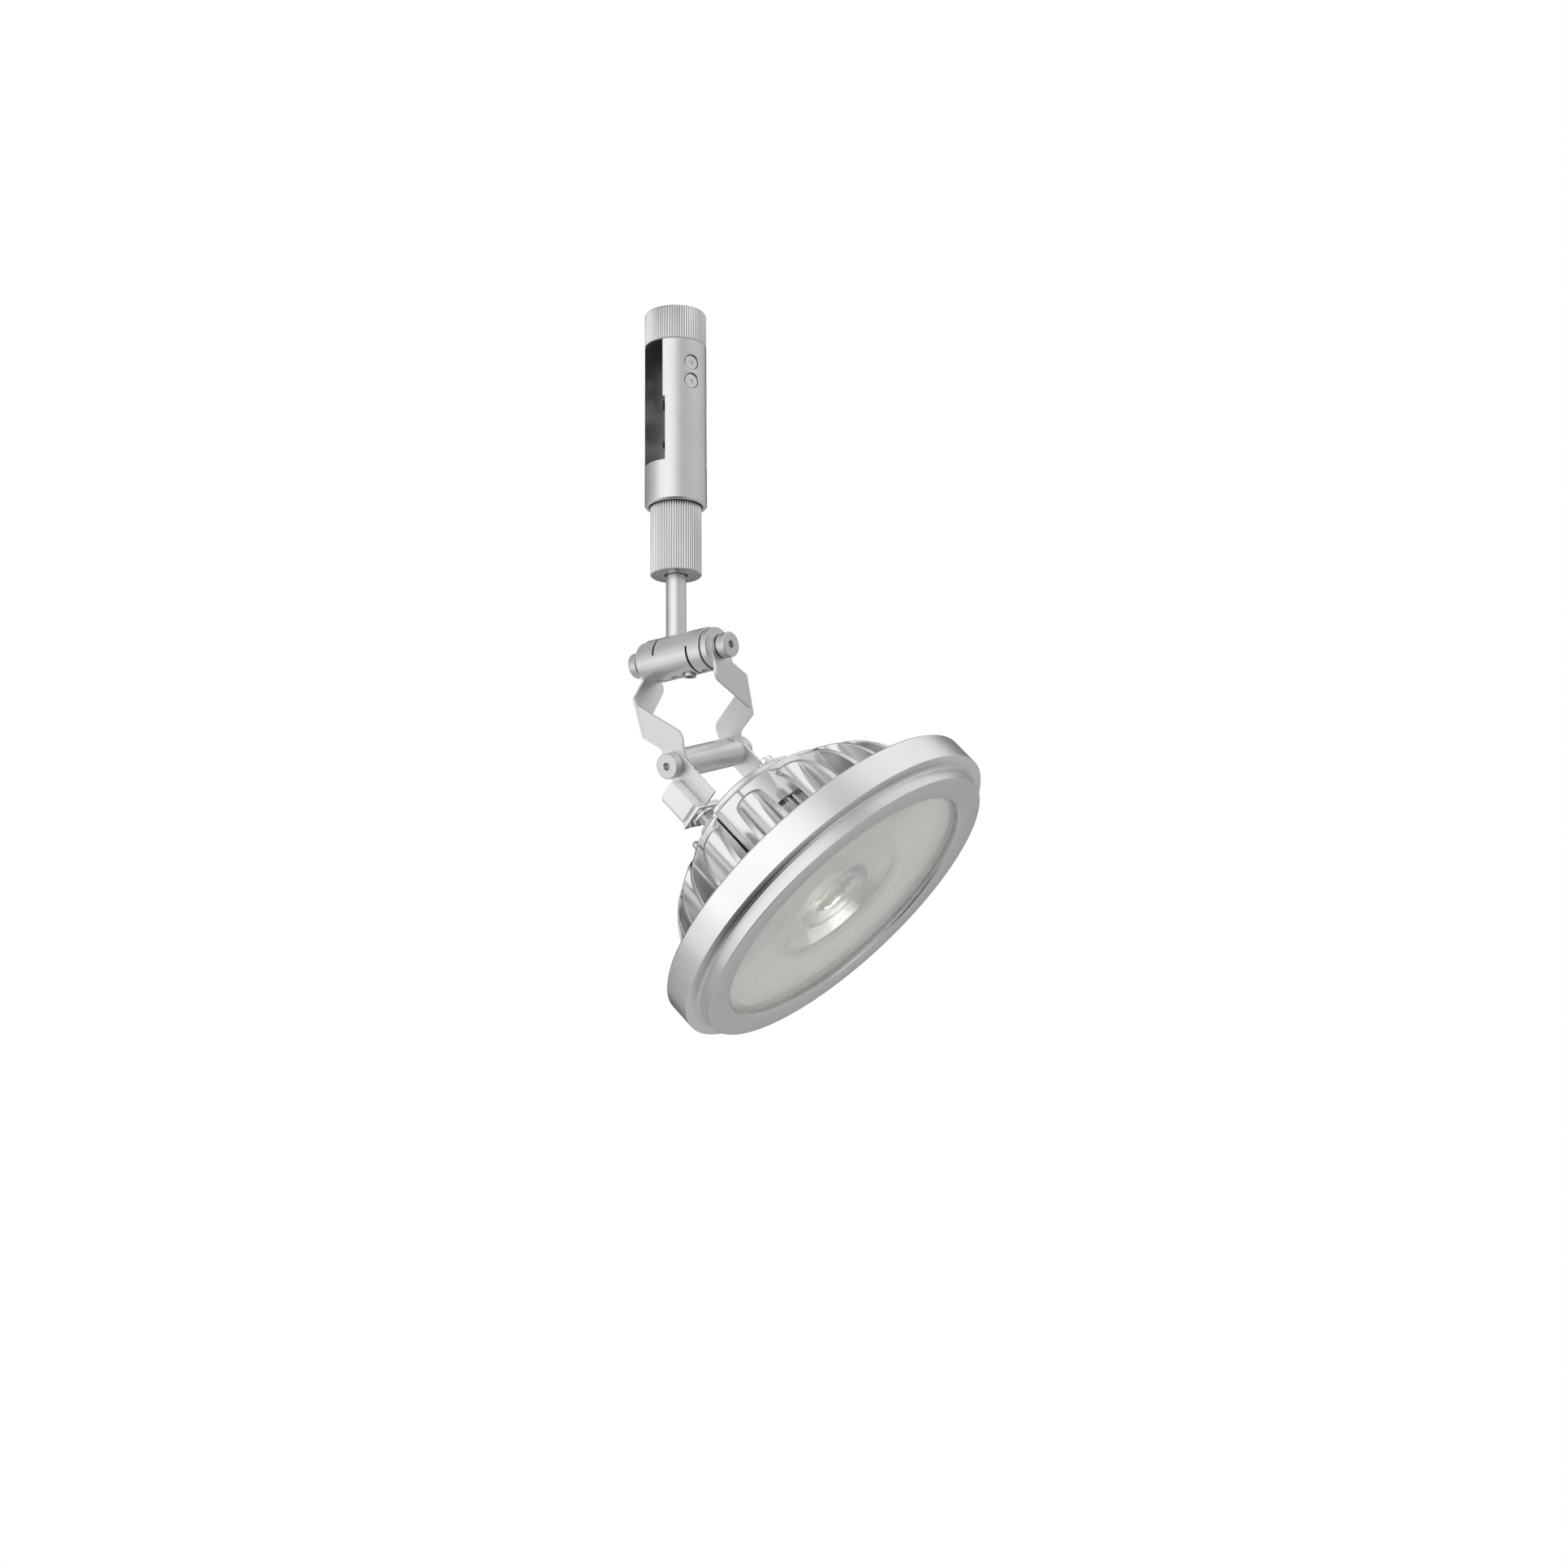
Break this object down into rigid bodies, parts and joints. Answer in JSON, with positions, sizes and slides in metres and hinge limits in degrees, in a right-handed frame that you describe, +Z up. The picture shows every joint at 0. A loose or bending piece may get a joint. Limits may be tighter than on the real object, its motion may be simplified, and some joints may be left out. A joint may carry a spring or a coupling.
{
  "type": "track spotlight",
  "caption": "Low-voltage track spotlight with a slotted rail adapter, a hanging rod, a cross joint of folded strip arms and a finned round LED reflector lamp that swivels and tilts.",
  "frame": {"origin": "centre of the adapter slot's back wall, on which the rail's flat side rests", "axes": "+Z up, +X along the rail, -Y from the slot's back wall towards the leg with the two screws"},
  "size_m": [0.1037, 0.1003, 0.2176],
  "materials": {
    "satin_aluminium": "satin anodised",
    "cast_aluminium": "glossy silver casting",
    "steel": "satin",
    "bright_steel": "bright plated",
    "black_plastic": "matte",
    "white_plastic": "matte",
    "brass": "turned",
    "copper": "drawn",
    "lens_plastic": "fine pillow optic",
    "clear_lens": "clear",
    "reflector_metal": "faceted mirror",
    "emitter": "phosphor",
    "circuit_board": "solder mask"
  },
  "bodies": {
    "adapter": {"adapter_body": "satin_aluminium", "contact_carrier": "black_plastic", "rail_contacts": "copper", "carrier_screws": "steel", "socket_insulator": "white_plastic", "socket_contact": "brass"},
    "cap": {"cap": "satin_aluminium", "cap_pad": "black_plastic"},
    "sleeve": {"sleeve": "satin_aluminium"},
    "stem": {"rod": "satin_aluminium", "plug_insulator": "white_plastic", "plug_pin": "brass", "core_insulation": "white_plastic", "core_wire": "copper", "barrel": "satin_aluminium", "barrel_liners": "black_plastic", "clamp_screw": "steel", "grub_screws": "steel"},
    "yoke": {"bush_left": "satin_aluminium", "bush_right": "satin_aluminium", "arm_left": "satin_aluminium", "arm_right": "satin_aluminium", "upper_washers": "steel", "upper_screws": "satin_aluminium", "tube_left": "satin_aluminium", "tube_right": "satin_aluminium", "tube_insulator": "white_plastic", "tube_grub_screws": "steel", "lower_washers": "steel", "lower_screws": "satin_aluminium"},
    "lamp": {"strip_left": "satin_aluminium", "strip_right": "satin_aluminium", "terminal_plates": "bright_steel", "terminal_screws": "bright_steel", "terminal_cover": "white_plastic", "terminal_lugs": "steel", "rear_cover": "white_plastic", "hub_pins": "steel", "heat_sink": "cast_aluminium", "rim_band": "cast_aluminium", "front_ring": "satin_aluminium", "lens_plate": "lens_plastic", "inner_cover": "white_plastic", "reflector": "reflector_metal", "centre_lens": "clear_lens", "led_board": "white_plastic", "led_emitter": "emitter", "driver_board": "circuit_board"}
  },
  "joints": [
    {"name": "cap_turn", "type": "hinge", "parent": "adapter", "child": "cap", "pos_m": [0, -0.005, 0.02], "axis": [0, 0, 1], "range_deg": [0, 360]},
    {"name": "sleeve_turn", "type": "hinge", "parent": "adapter", "child": "sleeve", "pos_m": [0, -0.005, -0.04], "axis": [0, 0, -1], "range_deg": [0, 360]},
    {"name": "stem_swivel", "type": "hinge", "parent": "adapter", "child": "stem", "pos_m": [0, -0.005, -0.05], "axis": [0, 0, 1], "range_deg": [-175, 175]},
    {"name": "yoke_tilt", "type": "hinge", "parent": "stem", "child": "yoke", "pos_m": [0.00079, -0.00748, -0.0774], "axis": [0.3057, -0.9521, 0], "range_deg": [-79, 41]},
    {"name": "lamp_tilt", "type": "hinge", "parent": "yoke", "child": "lamp", "pos_m": [0.01031, -0.00442, -0.10643], "axis": [-0.9003, -0.289, -0.3256], "range_deg": [-117.4, 42.6]}
  ]
}
